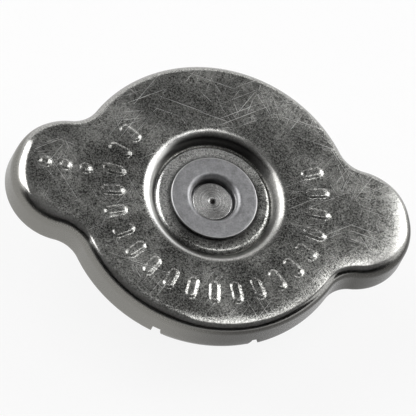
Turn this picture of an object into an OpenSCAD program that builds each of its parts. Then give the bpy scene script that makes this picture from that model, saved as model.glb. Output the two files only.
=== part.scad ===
// Radiator cap: a two-eared pressed lid with bayonet lugs, carrying a swivelling two-way pressure valve.
// Millimetres, +Z up, +X through the ears. The origin is the centre of the pressure seal's underside.

/* [Lid] */
// Height from the pressure seal's underside to the lid's flat top
cap_h = 22; // [20:0.5:26]
// Diameter of the round body at the rolled edge
body_d = 45; // [43:0.5:50]
// Radius of each finger ear
ear_r = 9; // [7.5:0.25:10]
// Distance from the axis to the centre of an ear
ear_reach = 22.6; // [21.5:0.1:25]
// Radius of the hollow blend between body and ear
blend_r = 5; // [3.5:0.25:7]
// Thickness of the lid's sheet steel
sheet_t = 0.8; // [0.6:0.05:1]
// Outer radius of the rolled top edge
edge_r = 1.6; // [1.2:0.1:2.2]
// Depth of the skirt below the flat top
skirt_h = 5.9; // [5.4:0.1:7]
// Outward lean of the skirt at its bottom edge
skirt_flare = 0.15; // [0:0.05:0.4]

/* [Dished centre] */
// Diameter at which the flat top turns down into the dish
dish_d = 23.3; // [22.5:0.1:25]
// Radius of the dish's lip
dish_lip_r = 2.1; // [1.4:0.1:2.1]
// Width of the groove between the dish's wall and the raised pad
groove_w = 0.8; // [0.6:0.05:1]
// Rounding of the pad's edge
pad_edge_r = 0.4; // [0.2:0.05:0.6]

/* [Locking lugs] */
// Width of each lug
lug_w = 14.2; // [11:0.2:16]
// Turn of the lugs from square to the ears
lug_turn = 3; // [0:0.5:8]
// How far the lugs reach below the skirt's edge
lug_drop = 1.3; // [1:0.1:2]
// Outer radius of the lug's fold
lug_fold_r = 2; // [1.3:0.1:2.4]
// How far the lug's lip reaches in from the body's radius
lug_reach = 3.7; // [3:0.1:4]
// Rounding of the lug's lower corners
lug_end_r = 2.4; // [1:0.1:2.8]
// Width of the relief notch beside each lug
notch_w = 1.2; // [0.6:0.1:2]
// Height of the relief notch above the skirt's edge
notch_h = 1.5; // [0.8:0.1:2]

/* [Hub and rivet] */
// Diameter of the cup washer's flange
hub_d = 13.6; // [12.5:0.1:15]
// Thickness of the cup washer's sheet
hub_t = 0.55; // [0.4:0.05:0.7]
// Depth of the flange's top below the flat top
hub_depth = 0.8; // [0.6:0.05:1]
// Inner diameter of the cup
cup_d = 7; // [6.8:0.1:7.6]
// Radius of the cup's mouth
cup_lip_r = 0.9; // [0.75:0.05:1]
// Height of the rivet's turned head
rivet_head_h = 0.78; // [0.5:0.02:1]
// Diameter of the rivet's shank
shank_d = 4.4; // [3.6:0.1:4.8]
// Diameter of the rivet's upset foot
rivet_foot_d = 6.8; // [6:0.1:8]
// Height of the rivet's upset foot
rivet_foot_h = 0.9; // [0.6:0.1:1.4]

/* [Rim seal] */
// Diameter of the sprung disc
diaphragm_d = 38.6; // [38:0.2:40]
// Thickness of the sprung disc
diaphragm_t = 0.4; // [0.3:0.05:0.5]
// Radius of the stiffening bead's middle line
bead_r = 15.6; // [15.2:0.1:16.4]
// Width of the stiffening bead
bead_w = 1.2; // [0.8:0.1:1.4]
// Outer diameter of the rim seal
rim_seal_d = 36.8; // [36:0.1:37]
// Thickness of the rim seal
rim_seal_t = 1.1; // [0.8:0.1:1.4]

/* [Bell housing] */
// Outer diameter of the bell housing
bell_d = 25.2; // [24.8:0.1:25.6]
// Thickness of the sheet that the bell and valve are drawn from
drawn_t = 0.6; // [0.5:0.05:0.7]
// Outer radius of the bell's top corner
bell_corner_r = 1.6; // [1.2:0.1:2]
// Outer radius of the fold at the bell's bottom
bell_fold_r = 1.2; // [1:0.1:1.4]
// Width of the lip folded in at the bell's bottom
bell_lip_w = 2.4; // [2.2:0.1:2.6]
// Number of flow windows around the bell
windows = 4; // [2:1:5]
// Width of a flow window
window_w = 5; // [3:0.5:6]
// Length of a flow window's straight sides
window_side = 0.6; // [0.2:0.1:1.4]

/* [Pressure valve] */
// Lift of the pressure valve
valve_lift = 2.5; // [1.5:0.1:2.8]
// Diameter of the valve plate's turned-down rim
plate_d = 24.6; // [24:0.1:25]
// Depth of the valve plate's rim below its underside
plate_rim_h = 0.8; // [0.4:0.1:1.2]
// Thickness of the pressure seal's sealing ring
seal_t = 2.8; // [2.4:0.1:3.4]
// Thickness of the pressure seal's clamped web
seal_web_t = 1; // [0.8:0.05:1.2]
// Inner diameter of the pressure seal's sealing ring
seal_ring_d = 17.2; // [16.8:0.1:18]
// Outer diameter of the seal retainer's tube
tube_d = 10.4; // [9.8:0.1:11]
// Height of the retainer's top above the spring seat's floor
retainer_rise = 1.6; // [1.3:0.1:2.4]
// Wire diameter of the pressure spring
spring_wire = 1.5; // [1.2:0.05:1.6]
// Turns of the pressure spring
spring_turns = 3.8; // [3:0.1:4]

/* [Vacuum valve] */
// Diameter of the vacuum disc
vacuum_d = 12.8; // [11:0.1:14]
// Thickness of the vacuum disc
vacuum_t = 0.6; // [0.5:0.05:0.8]
// Diameter of the stem
stem_d = 2.2; // [1.8:0.1:2.4]
// Length of the light spring
light_spring_l = 4.2; // [3.8:0.1:5]
// Mean diameter of the light spring
light_spring_d = 3.8; // [3.4:0.1:4]
// Wire diameter of the light spring
light_wire = 0.4; // [0.3:0.02:0.45]
// Turns of the light spring
light_turns = 4.5; // [4:0.1:4.6]
// Diameter of the stem's retainer washer
stem_washer_d = 5.2; // [4.8:0.1:6]
// Thickness of the stem's retainer washer
stem_washer_t = 0.6; // [0.4:0.05:0.8]
// Radius of the vent holes' circle in the retainer's top
vent_circle_r = 2.9; // [2.6:0.1:3.1]
// Diameter of a vent hole
vent_d = 1.6; // [1.2:0.1:1.8]
// Number of vent holes
vents = 4; // [3:1:5]

/* [Clearances] */
// Radial running gap of the lid on the hub and of the stem in its guide
run_gap = 0.06; // [0.03:0.01:0.09]
// End play of the lid between hub and sprung disc, each way
swivel_play = 0.05; // [0.03:0.01:0.1]
// Radial gap between pieces that are clamped together
seat_gap = 0.02; // [0.01:0.01:0.04]
// Gap at a closed stop and at the ends of a spring
stop_gap = 0.05; // [0.03:0.01:0.08]
// Gap between loosely fitted pieces
free_gap = 0.3; // [0.2:0.05:0.4]
// Radial gap of the spring seat in the bell and of the retainer's flange in the pressure seal's ring
slide_gap = 0.4; // [0.3:0.05:0.5]
// Radial gap between the heavy spring and the bell's wall
spring_gap = 0.95; // [0.8:0.05:1.1]
// Radial gap between the rivet's head and the cup
head_gap = 0.325; // [0.25:0.025:0.5]

/* [Hidden] */
$fn = 96;

// Rounding of a stamped or turned edge, as a share of the piece's thickness
stamped_share = 0.3;
// Inner radius of a drawn bend, and of a tight one
bend_in = 0.4;
tight_bend_in = 0.2;

// Plan of the lid: body circle, ear circles and the blend circles that touch both
body_r = body_d / 2;
to_body = body_r + blend_r;
to_ear = ear_r + blend_r;
blend_x = (to_body^2 - to_ear^2 + ear_reach^2) / (2 * ear_reach);
blend_y = sqrt(to_body^2 - blend_x^2);
// Direction of the blend's centre from the axis and from the ear's centre
body_turn = atan2(blend_y, blend_x);
ear_turn = atan2(blend_y, blend_x - ear_reach);
// How far from the blend's centre its corner of the lid reaches
corner_reach = 0.9 * to_ear;
// How far the rolled edge runs in over the flat
flat_lap = 0.25;
// How far the blend's sheet lies inside its neighbours' faces, and how far along it laps into them
blend_lap = 0.01;
blend_lap_l = 0.15;

// Lean of the skirt at a depth below the flat top
function lean(depth) = skirt_flare * (depth - edge_r) / (skirt_h - edge_r);

// Section of the dish, as depths below the flat top
dish_r = dish_d / 2;
pad_r = dish_r - dish_lip_r - groove_w;
groove_r = groove_w / 2;
pad_depth = hub_depth + hub_t + swivel_play;
groove_mid = pad_depth + sheet_t;
dish_bottom = groove_mid + groove_r + sheet_t;

// Cup of the hub and its hole through the pad
cup_r = cup_d / 2;
cup_outer_r = cup_r + hub_t;
hub_hole_r = cup_outer_r + run_gap;
hub_hole_chamfer = cup_lip_r - hub_t;
shank_r = shank_d / 2;
shank_hole_r = shank_r + seat_gap;

// Heights of the stack under the lid, from the top down
diaphragm_top = cap_h - dish_bottom - swivel_play;
cup_floor = diaphragm_top + hub_t;
bell_top = diaphragm_top - diaphragm_t;
bell_ceiling = bell_top - drawn_t;

// Heights of the valve, from the pressure seal's underside up
plate_bottom = seal_t;
seat_floor = plate_bottom + drawn_t;
seat_floor_top = seat_floor + drawn_t;
bell_bottom = seat_floor + valve_lift + free_gap;
bell_lip_top = bell_bottom + drawn_t;
seat_flange_z = bell_lip_top + stop_gap;
seat_flange_top = seat_flange_z + drawn_t;
web_bottom = seal_t - seal_web_t;
retainer_bottom = web_bottom - drawn_t;
retainer_top = seat_floor_top + retainer_rise;
vacuum_top = retainer_bottom - 2 * stop_gap;
vacuum_bottom = vacuum_top - vacuum_t;

bell_r = bell_d / 2;
bell_inner_r = bell_r - drawn_t;
bell_mouth_r = bell_r - bell_lip_w;
seat_cup_r = bell_mouth_r - slide_gap;
seat_flange_r = bell_inner_r - slide_gap;
spring_d = 2 * (bell_inner_r - spring_gap) - spring_wire;
seat_bend_r = drawn_t + bend_in;
plate_r = plate_d / 2;
seal_r = plate_r - drawn_t - seat_gap;
seal_edge_r = seal_t / 7;
tube_r = tube_d / 2;
tube_bend_r = drawn_t + tight_bend_in;
tube_hole_r = tube_r + seat_gap;
seal_hole_r = tube_r - drawn_t + tube_bend_r + seat_gap;
// Bead rolled into the tube above the spring seat's floor, which clamps the stack
lock_bead_r = drawn_t / 2;
stem_r = stem_d / 2;
stem_hole_r = stem_r + seat_gap;
// Riveted heads at the stem's ends
stem_head_r = 1.5 * stem_r;
stem_head_h = vacuum_t / 2;
light_spring_top = retainer_top + light_spring_l;
stem_washer_top = light_spring_top + stem_washer_t;

// Lug: where its wall leaves the skirt, the radius there, and where it ends
lug_root = skirt_h - notch_h;
lug_depth = skirt_h + lug_drop;
lug_lip_r = body_r - lug_reach;
lug_r = body_r + lean(lug_root);

// Turns that lie flat at each end of a spring, and their pitch in wires
closed_turns = 0.75;
closed_slack = 1.03;

// Turn of the first flow window from the ears
window_turn = 45;

// How far a cutter runs past what it cuts
past = 1;

// Quarter of a ring of sheet, centred at the origin, in the quadrant that the signs give
module sheet_bend(outer_r, thick, side_x, side_y) {
    intersection() {
        difference() {
            circle(outer_r);
            circle(outer_r - thick);
        }
        translate([side_x < 0 ? -outer_r : 0, side_y < 0 ? -outer_r : 0]) square(outer_r);
    }
}

// Rectangle given by its corners
module slab(x0, x1, y0, y1) {
    translate([x0, y0]) square([x1 - x0, y1 - y0]);
}

// Rectangle whose corners at x1 are rounded
module bar_round_end(x0, x1, y0, y1, r) {
    slab(x0, x1 - r, y0, y1);
    slab(x0, x1, y0 + r, y1 - r);
    translate([x1 - r, y0 + r]) circle(r);
    translate([x1 - r, y1 - r]) circle(r);
}

// What a rounding takes off a square corner, whose outward directions the signs give
module round_off(x, y, side_x, side_y, r) {
    translate([x - side_x * r, y - side_y * r])
        mirror([side_x < 0 ? 1 : 0, 0]) mirror([0, side_y < 0 ? 1 : 0]) difference() {
            square(r + past);
            circle(r);
        }
}

// Block under a convex stretch of the edge, from a start radius out, drawn in by an inset, down to a depth
module edge_block(outer_r, start_r, inset, depth) {
    wall_r = outer_r - inset;
    difference() {
        polygon([[start_r, -depth], [wall_r + lean(depth), -depth], [wall_r, -edge_r], [wall_r, -inset],
                 [start_r, -inset]]);
        round_off(wall_r, -inset, 1, 1, edge_r - inset);
    }
}

// Block under a hollow blend, measured from the blend's centre, drawn in by an inset, down to a depth
module blend_block(end_r, inset, depth) {
    wall_r = blend_r + inset;
    difference() {
        polygon([[end_r, -depth], [wall_r - lean(depth), -depth], [wall_r, -edge_r], [wall_r, -inset],
                 [end_r, -inset]]);
        round_off(wall_r, -inset, -1, 1, edge_r - inset);
    }
}

// Sheet of a convex stretch: rolled edge and skirt
module edge_section(outer_r) {
    start_r = outer_r - edge_r - 2 * flat_lap;
    difference() {
        edge_block(outer_r, start_r, 0, skirt_h);
        edge_block(outer_r, start_r - past, sheet_t, skirt_h + past);
    }
}

// Sheet of a hollow blend: rolled edge, skirt and the flat behind them, a little thinner so that it laps in
module blend_section() {
    difference() {
        blend_block(corner_reach, blend_lap, skirt_h - blend_lap);
        blend_block(corner_reach + past, sheet_t - blend_lap, skirt_h + past);
    }
}

// Section of the dish: lip, wall, groove and raised pad
module dish_section() {
    slab(dish_r, body_r - edge_r - flat_lap, -sheet_t, 0);
    translate([dish_r, -dish_lip_r]) sheet_bend(dish_lip_r, sheet_t, -1, 1);
    slab(dish_r - dish_lip_r, dish_r - dish_lip_r + sheet_t, -groove_mid, -dish_lip_r);
    translate([pad_r + groove_r, -groove_mid]) {
        sheet_bend(groove_r + sheet_t, sheet_t, 1, -1);
        sheet_bend(groove_r + sheet_t, sheet_t, -1, -1);
    }
    difference() {
        union() {
            slab(hub_hole_r, pad_r - pad_edge_r, -groove_mid, -pad_depth);
            slab(hub_hole_r, pad_r, -groove_mid, -pad_depth - pad_edge_r);
            translate([pad_r - pad_edge_r, -pad_depth - pad_edge_r]) circle(pad_edge_r);
        }
        polygon([[hub_hole_r - past, -pad_depth - hub_hole_chamfer - past],
                 [hub_hole_r + hub_hole_chamfer + past, -pad_depth + past],
                 [hub_hole_r - past, -pad_depth + past]]);
    }
}

// Rolled edge and skirt of the body between the ears, on the +Y side
module body_edge() {
    rotate([0, 0, body_turn]) rotate_extrude(angle = 180 - 2 * body_turn) edge_section(body_r);
}

// Round end of one ear, on the +X side
module ear() {
    translate([ear_reach, 0, 0]) {
        rotate([0, 0, -ear_turn]) rotate_extrude(angle = 2 * ear_turn) edge_section(ear_r);
        translate([0, 0, -sheet_t]) cylinder(h = sheet_t, r = ear_r - edge_r - flat_lap);
    }
}

// Corner between body and ear with its hollow blend, in the +X +Y quarter
module blend() {
    lap_turn = blend_lap_l / blend_r * 180 / PI;
    translate([blend_x, blend_y, 0]) rotate([0, 0, 180 + body_turn - lap_turn])
        rotate_extrude(angle = ear_turn - body_turn + 2 * lap_turn) blend_section();
}

// Gap in the skirt for one lug and its two relief notches, on the +X axis
module lug_gap() {
    gap_w = lug_w + 2 * notch_w;
    gap_l = lug_reach + past;
    translate([lug_lip_r, -gap_w / 2, -skirt_h - past]) cube([gap_l, gap_w, notch_h + past]);
}

// Section of a lug: wall, fold and lip
module lug_section() {
    inner_r = lug_r - sheet_t;
    lip_top = sheet_t - lug_depth;
    difference() {
        slab(lug_lip_r, lug_r, -lug_depth, -lug_root);
        round_off(lug_r, -lug_depth, 1, -1, lug_fold_r);
        difference() {
            slab(lug_lip_r - past, inner_r, lip_top, past - lug_root);
            round_off(inner_r, lip_top, 1, -1, lug_fold_r - sheet_t);
        }
    }
}

// One lug, folded in under the skirt, on the +X axis
module lug() {
    half_w = lug_w / 2;
    spread = 2 * asin((half_w + past) / lug_lip_r);
    intersection() {
        rotate([0, 0, -spread / 2]) rotate_extrude(angle = spread) lug_section();
        rotate([90, 0, 90]) linear_extrude(body_d) difference() {
            slab(-half_w, half_w, -lug_depth, -lug_root);
            for (side = [-1, 1]) round_off(side * half_w, -lug_depth, side, -1, lug_end_r);
        }
    }
}

// Pressed lid in one piece
module cap_shell() {
    color("silver") translate([0, 0, cap_h]) {
        difference() {
            union() {
                rotate_extrude() dish_section();
                for (turn = [0, 180]) rotate([0, 0, turn]) {
                    body_edge();
                    ear();
                    blend();
                    mirror([0, 1, 0]) blend();
                }
            }
            for (turn = [0, 180]) rotate([0, 0, turn + lug_turn - 90]) lug_gap();
        }
        for (turn = [0, 180]) rotate([0, 0, turn + lug_turn - 90]) lug();
    }
}

// Cup washer whose flange rests on the pad and whose cup is the lid's pivot
module hub_washer() {
    top = cap_h - hub_depth;
    lip_x = cup_r + cup_lip_r;
    color("gray") rotate_extrude() {
        bar_round_end(lip_x, hub_d / 2, top - hub_t, top, hub_t * stamped_share);
        translate([lip_x, top - cup_lip_r]) sheet_bend(cup_lip_r, hub_t, -1, 1);
        slab(cup_r, cup_outer_r, diaphragm_top, top - cup_lip_r);
        slab(shank_hole_r, cup_outer_r, diaphragm_top, cup_floor);
    }
}

// Rivet: turned head in the cup, shank through the stack, foot upset under the bell's ceiling
module centre_rivet() {
    head_top = cup_floor + rivet_head_h;
    dimple_r = shank_r / 4;
    foot_r = rivet_foot_d / 2;
    color("lightgray") difference() {
        rotate_extrude() {
            bar_round_end(0, cup_r - head_gap, cup_floor, head_top, rivet_head_h * stamped_share);
            slab(0, shank_r, bell_ceiling, cup_floor);
            bar_round_end(0, foot_r, bell_ceiling - rivet_foot_h, bell_ceiling, rivet_foot_h * stamped_share);
        }
        translate([0, 0, head_top - dimple_r]) cylinder(h = 2 * dimple_r, r1 = 0, r2 = 2 * dimple_r);
    }
}

// Sprung disc with one stiffening bead
module diaphragm() {
    inner_r = bead_w / 2;
    color("darkgray") translate([0, 0, bell_top]) rotate_extrude() {
        difference() {
            bar_round_end(shank_hole_r, diaphragm_d / 2, 0, diaphragm_t, diaphragm_t * stamped_share);
            translate([bead_r, 0]) circle(inner_r);
        }
        translate([bead_r, 0]) {
            sheet_bend(inner_r + diaphragm_t, diaphragm_t, 1, 1);
            sheet_bend(inner_r + diaphragm_t, diaphragm_t, -1, 1);
        }
    }
}

// Rubber ring that closes the rim of the filler neck
module upper_seal() {
    inner_r = bell_r + free_gap;
    color("dimgray") translate([0, 0, bell_top - rim_seal_t]) difference() {
        rotate_extrude() bar_round_end(0, rim_seal_d / 2, 0, rim_seal_t, rim_seal_t * stamped_share);
        translate([0, 0, -past]) cylinder(h = rim_seal_t + 2 * past, r = inner_r);
    }
}

// Section of the bell: ceiling, corner, wall, folded lip
module bell_section() {
    slab(shank_hole_r, bell_r - bell_corner_r, bell_ceiling, bell_top);
    translate([bell_r - bell_corner_r, bell_top - bell_corner_r]) sheet_bend(bell_corner_r, drawn_t, 1, 1);
    slab(bell_inner_r, bell_r, bell_bottom + bell_fold_r, bell_top - bell_corner_r);
    translate([bell_r - bell_fold_r, bell_bottom + bell_fold_r]) sheet_bend(bell_fold_r, drawn_t, 1, -1);
    slab(bell_mouth_r, bell_r - bell_fold_r, bell_bottom, bell_lip_top);
}

// Drawn cup that hangs on the rivet and holds the pressure valve, with flow windows around its wall
module bell_housing() {
    window_mid = (bell_bottom + bell_fold_r + bell_top - bell_corner_r) / 2;
    color("lightsteelblue") difference() {
        rotate_extrude() bell_section();
        for (i = [0 : windows - 1]) rotate([0, 0, window_turn + i * 360 / windows])
            translate([bell_r / 2, 0, window_mid]) rotate([90, 0, 90]) linear_extrude(bell_r) {
                for (side = [-1, 1]) translate([0, side * window_side / 2]) circle(window_w / 2);
                slab(-window_w / 2, window_w / 2, -window_side / 2, window_side / 2);
            }
    }
}

// Round-wire coil standing on z = 0, with closed ends that rise by one wire for each turn
module coil(mean_d, wire, length, turns, steps, sides) {
    closed = closed_turns;
    closed_pitch = wire * closed_slack;
    open_pitch = (length - wire - 2 * closed * closed_pitch) / (turns - 2 * closed);
    function rise(n) = n < closed ? n * closed_pitch
        : n < turns - closed ? closed * closed_pitch + (n - closed) * open_pitch
        : length - wire - (turns - n) * closed_pitch;
    rings = round(turns * steps);
    points = [for (i = [0 : rings], k = [0 : sides - 1])
        let (n = turns * i / rings, a = 360 * n, b = 360 * k / sides, r = mean_d / 2 + wire / 2 * cos(b))
        [r * cos(a), r * sin(a), wire / 2 + rise(n) + wire / 2 * sin(b)]];
    tube = [for (i = [0 : rings - 1], k = [0 : sides - 1])
        let (m = (k + 1) % sides, p = i * sides, q = p + sides) [p + k, p + m, q + m, q + k]];
    first_cap = [for (k = [sides - 1 : -1 : 0]) k];
    last_cap = [for (k = [0 : sides - 1]) rings * sides + k];
    polyhedron(points, concat(tube, [first_cap, last_cap]));
}

// Heavy spring between the bell's ceiling and the spring seat
module pressure_spring() {
    length = bell_ceiling - seat_flange_top - 2 * stop_gap;
    color("slategray") translate([0, 0, seat_flange_top + stop_gap])
        coil(spring_d, spring_wire, length, spring_turns, steps = 28, sides = 10);
}

// Drawn cup whose flange rests on the bell's lip and takes the heavy spring
module spring_seat() {
    inner_r = seat_cup_r - drawn_t;
    color("lightgray") rotate_extrude() {
        slab(inner_r + seat_bend_r, seat_flange_r, seat_flange_z, seat_flange_top);
        translate([inner_r + seat_bend_r, seat_flange_top - seat_bend_r])
            sheet_bend(seat_bend_r, drawn_t, -1, 1);
        slab(inner_r, seat_cup_r, seat_floor + seat_bend_r, seat_flange_top - seat_bend_r);
        translate([seat_cup_r - seat_bend_r, seat_floor + seat_bend_r])
            sheet_bend(seat_bend_r, drawn_t, 1, -1);
        slab(tube_hole_r, seat_cup_r - seat_bend_r, seat_floor, seat_floor_top);
    }
}

// Plate that backs the pressure seal, with a turned-down rim around it
module valve_plate() {
    color("silver") rotate_extrude() {
        slab(tube_hole_r, plate_r - seat_bend_r, plate_bottom, seat_floor);
        translate([plate_r - seat_bend_r, seat_floor - seat_bend_r]) sheet_bend(seat_bend_r, drawn_t, 1, 1);
        slab(plate_r - drawn_t, plate_r, plate_bottom - plate_rim_h, seat_floor - seat_bend_r);
    }
}

// Rubber ring that closes the seat in the filler neck, with a thinner web that is clamped
module pressure_seal() {
    color("dimgray") difference() {
        rotate_extrude() bar_round_end(0, seal_r, 0, seal_t, seal_edge_r);
        translate([0, 0, -past]) cylinder(h = web_bottom + past, d = seal_ring_d);
        translate([0, 0, -past]) cylinder(h = seal_t + 2 * past, r = seal_hole_r);
    }
}

// Flanged hat that clamps the seal, plate and spring seat together and guides the stem
module seal_retainer() {
    inner_r = tube_r - drawn_t;
    color("tan") difference() {
        rotate_extrude() {
            bar_round_end(inner_r + tube_bend_r, seal_ring_d / 2 - slide_gap, retainer_bottom, web_bottom,
                          drawn_t * stamped_share);
            translate([inner_r + tube_bend_r, retainer_bottom + tube_bend_r])
                sheet_bend(tube_bend_r, drawn_t, -1, -1);
            slab(inner_r, tube_r, retainer_bottom + tube_bend_r, retainer_top - tube_bend_r);
            translate([tube_r - tube_bend_r, retainer_top - tube_bend_r])
                sheet_bend(tube_bend_r, drawn_t, 1, 1);
            slab(0, tube_r - tube_bend_r, retainer_top - drawn_t, retainer_top);
            intersection() {
                translate([tube_r, seat_floor_top + stop_gap + lock_bead_r]) circle(lock_bead_r);
                slab(tube_r, tube_r + lock_bead_r, seat_floor_top, retainer_top);
            }
        }
        translate([0, 0, retainer_top - drawn_t - past]) {
            cylinder(h = drawn_t + 2 * past, r = stem_r + run_gap);
            for (i = [0 : vents - 1]) rotate([0, 0, i * 360 / vents]) translate([vent_circle_r, 0, 0])
                cylinder(h = drawn_t + 2 * past, d = vent_d);
        }
    }
}

// Disc that closes the retainer's mouth from below
module vacuum_disc() {
    color("goldenrod") difference() {
        rotate_extrude() bar_round_end(0, vacuum_d / 2, vacuum_bottom, vacuum_top, vacuum_t * stamped_share);
        translate([0, 0, vacuum_bottom - past]) cylinder(h = vacuum_t + 2 * past, r = stem_hole_r);
    }
}

// Pin riveted to the disc below and to its washer above
module vacuum_stem() {
    color("darkgoldenrod") rotate_extrude() {
        bar_round_end(0, stem_head_r, vacuum_bottom - stem_head_h, vacuum_bottom,
                      stem_head_h * stamped_share);
        slab(0, stem_r, vacuum_bottom, stem_washer_top);
        bar_round_end(0, stem_head_r, stem_washer_top, stem_washer_top + stem_head_h,
                      stem_head_h * stamped_share);
    }
}

// Light spring that holds the disc up
module vacuum_spring() {
    color("slategray") translate([0, 0, retainer_top + stop_gap])
        coil(light_spring_d, light_wire, light_spring_l - 2 * stop_gap, light_turns, steps = 18, sides = 8);
}

// Washer on the stem that the light spring pushes up against
module stem_retainer() {
    color("lightgray") difference() {
        rotate_extrude() bar_round_end(0, stem_washer_d / 2, light_spring_top, stem_washer_top,
                                       stem_washer_t * stamped_share);
        translate([0, 0, light_spring_top - past]) cylinder(h = stem_washer_t + 2 * past, r = stem_hole_r);
    }
}

cap_shell();
hub_washer();
centre_rivet();
diaphragm();
upper_seal();
bell_housing();
pressure_spring();
spring_seat();
valve_plate();
pressure_seal();
seal_retainer();
vacuum_disc();
vacuum_stem();
vacuum_spring();
stem_retainer();
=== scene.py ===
import logging
import math
from collections.abc import Mapping, Sequence
from dataclasses import dataclass, field
from enum import Enum

import bmesh
import bpy
import numpy as np
from mathutils import Matrix, Vector


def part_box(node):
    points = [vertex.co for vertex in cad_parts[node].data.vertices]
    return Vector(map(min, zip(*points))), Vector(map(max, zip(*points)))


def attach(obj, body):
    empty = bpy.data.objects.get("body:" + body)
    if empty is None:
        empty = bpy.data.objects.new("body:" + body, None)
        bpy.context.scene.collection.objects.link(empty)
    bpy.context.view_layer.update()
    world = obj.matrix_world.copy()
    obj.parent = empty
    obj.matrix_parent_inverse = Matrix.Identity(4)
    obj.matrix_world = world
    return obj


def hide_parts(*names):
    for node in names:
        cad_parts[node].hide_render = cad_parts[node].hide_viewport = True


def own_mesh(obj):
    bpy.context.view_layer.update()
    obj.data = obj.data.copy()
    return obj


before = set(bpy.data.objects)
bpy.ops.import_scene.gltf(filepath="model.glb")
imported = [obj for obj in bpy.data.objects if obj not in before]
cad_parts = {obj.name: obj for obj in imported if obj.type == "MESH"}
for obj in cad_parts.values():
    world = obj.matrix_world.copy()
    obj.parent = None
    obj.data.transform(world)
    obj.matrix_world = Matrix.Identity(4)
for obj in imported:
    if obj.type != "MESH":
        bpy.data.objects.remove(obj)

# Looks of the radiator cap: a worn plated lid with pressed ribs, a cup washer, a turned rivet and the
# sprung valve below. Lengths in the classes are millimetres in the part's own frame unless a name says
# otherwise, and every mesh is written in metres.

MM = 0.001
CREASE_DEGREES = 38.0
Point = tuple[float, float]
Spot = tuple[float, float, float]
Colour = tuple[float, float, float]
log = logging.getLogger("radiator_cap")


class Signal:
    """A socket of a node tree, on which plain arithmetic adds Math nodes."""

    def __init__(self, graph: "Graph", socket: bpy.types.NodeSocket) -> None:
        """Wrap one output socket of a graph."""
        self.graph = graph
        self.socket = socket

    def _math(self, operation: str, *values: "Signal | float", clamp: bool = False) -> "Signal":
        """Add one Math node.

        Args:
            operation: The node's operation.
            values: Its inputs, in order.
            clamp: Whether the result is held between 0 and 1.

        Returns:
            The node's result.
        """
        settings = {"operation": operation, "use_clamp": clamp}
        return self.graph.node("ShaderNodeMath", settings, dict(enumerate(values)))

    def __add__(self, other: "Signal | float") -> "Signal":
        """Sum of two values."""
        return self._math("ADD", self, other)

    def __radd__(self, other: float) -> "Signal":
        """Sum of a number and a value."""
        return self._math("ADD", other, self)

    def __sub__(self, other: "Signal | float") -> "Signal":
        """Difference of two values."""
        return self._math("SUBTRACT", self, other)

    def __rsub__(self, other: float) -> "Signal":
        """A number less a value."""
        return self._math("SUBTRACT", other, self)

    def __mul__(self, other: "Signal | float") -> "Signal":
        """Product of two values."""
        return self._math("MULTIPLY", self, other)

    def __rmul__(self, other: float) -> "Signal":
        """Product of a number and a value."""
        return self._math("MULTIPLY", other, self)

    def __truediv__(self, other: "Signal | float") -> "Signal":
        """Quotient of two values."""
        return self._math("DIVIDE", self, other)

    def __rtruediv__(self, other: float) -> "Signal":
        """A number over a value."""
        return self._math("DIVIDE", other, self)

    def __abs__(self) -> "Signal":
        """Size of a value without its sign."""
        return self._math("ABSOLUTE", self)

    def __gt__(self, other: "Signal | float") -> "Signal":
        """1 where the value is greater, and 0 elsewhere."""
        return self._math("GREATER_THAN", self, other)

    def low(self, other: "Signal | float") -> "Signal":
        """The lower of two values."""
        return self._math("MINIMUM", self, other)

    def high(self, other: "Signal | float") -> "Signal":
        """The higher of two values."""
        return self._math("MAXIMUM", self, other)

    def held(self) -> "Signal":
        """The value held between 0 and 1."""
        return self._math("ADD", self, 0.0, clamp=True)

    def nearest(self) -> "Signal":
        """The nearest whole number."""
        return self._math("ROUND", self)

    def wrapped(self, period: float) -> "Signal":
        """The value brought into one period."""
        return self._math("FLOORED_MODULO", self, period)

    def sine(self) -> "Signal":
        """Sine of the value."""
        return self._math("SINE", self)

    def cosine(self) -> "Signal":
        """Cosine of the value."""
        return self._math("COSINE", self)

    def hypot(self, other: "Signal") -> "Signal":
        """Length of a vector with these two sides."""
        return self._math("SQRT", self * self + other * other)

    def angle(self, x: "Signal") -> "Signal":
        """Polar angle of a point whose y is this value."""
        return self._math("ARCTAN2", self, x)

    def eased(self, start: "Signal | float", end: "Signal | float") -> "Signal":
        """Ease from 0 at the start value to 1 at the end value.

        Args:
            start: Where the result is 0.
            end: Where the result is 1.

        Returns:
            The eased value.
        """
        inputs = {"Value": self, "From Min": start, "From Max": end}
        return self.graph.node("ShaderNodeMapRange", {"interpolation_type": "SMOOTHSTEP"}, inputs)


class Graph:
    """A node tree that one generic method fills."""

    def __init__(self, tree: bpy.types.NodeTree) -> None:
        """Take an empty node tree."""
        self.tree = tree

    def node(self, kind: str, settings: Mapping[str, object] | None = None,
             inputs: Mapping[str | int, object] | None = None, output: str | int = 0) -> Signal:
        """Add a node of any type.

        Args:
            kind: The node's type.
            settings: Its settings, which are set first.
            inputs: Values or links of its sockets, by name or place.
            output: The output that is wanted.

        Returns:
            That output.
        """
        made = self.tree.nodes.new(kind)
        for name, value in (settings or {}).items():
            setattr(made, name, value)
        for name, value in (inputs or {}).items():
            self.feed(made.inputs[name], value)
        return Signal(self, made.outputs[output])

    def feed(self, socket: bpy.types.NodeSocket, value: object) -> None:
        """Link a signal to a socket, or set the socket's own value.

        Args:
            socket: The socket.
            value: The signal, or a plain value.
        """
        if isinstance(value, Signal):
            self.tree.links.new(value.socket, socket)
        else:
            socket.default_value = value

    def parts(self, vector: Signal) -> tuple[Signal, Signal, Signal]:
        """Take a vector apart.

        Args:
            vector: The vector.

        Returns:
            Its three parts.
        """
        first = self.node("ShaderNodeSeparateXYZ", None, {0: vector})
        outputs = first.socket.node.outputs
        return first, Signal(self, outputs[1]), Signal(self, outputs[2])


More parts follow.
